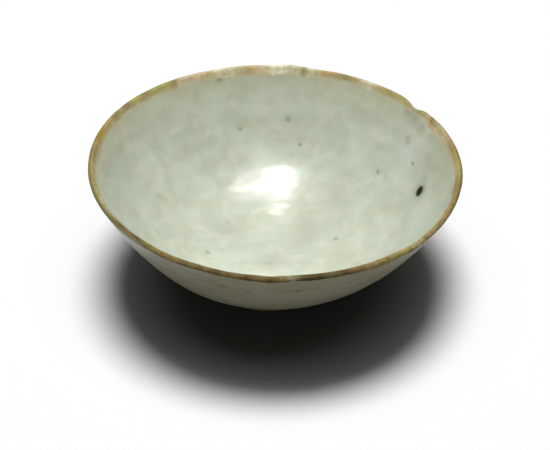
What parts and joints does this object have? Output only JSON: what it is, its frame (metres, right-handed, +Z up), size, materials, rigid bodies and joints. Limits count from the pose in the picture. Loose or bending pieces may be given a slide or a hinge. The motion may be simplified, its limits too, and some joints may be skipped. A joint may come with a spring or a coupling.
{
  "type": "ceramic bowl",
  "caption": "Wide, thin-walled thrown bowl on a small turned foot, with a pale grey-green glaze and an uneven iron-brown lip.",
  "frame": {"origin": "on the surface that the bowl stands on, below the middle of the mouth's outline", "axes": "+Z up out of the bowl; +X towards the lower side of the lip; -Y towards the side seen in the picture"},
  "size_m": [0.1786, 0.1811, 0.0708],
  "materials": {
    "clay": "bare fired stoneware, matt",
    "glaze_inside": "glossy pale grey-green glaze with soft warm and cool clouding",
    "glaze_outside": "glossy pale grey-green glaze, thinner and a little browner",
    "lip": "thin glaze burnt through to iron-brown clay, half gloss",
    "iron": "dark iron speck, half gloss"
  },
  "bodies": {
    "root": {"clay_body": "clay", "foot_ring": "clay", "inner_glaze": "glaze_inside", "outer_glaze": "glaze_outside", "foot_well_glaze": "glaze_outside", "lip_band": "lip", "iron_spot_large": "iron", "iron_speck_rear_left": "iron", "iron_speck_rear": "iron", "iron_speck_rear_low": "iron", "iron_speck_right_low": "iron", "iron_speck_right": "iron", "iron_speck_floor_right": "iron", "iron_speck_floor_left": "iron"}
  },
  "joints": []
}
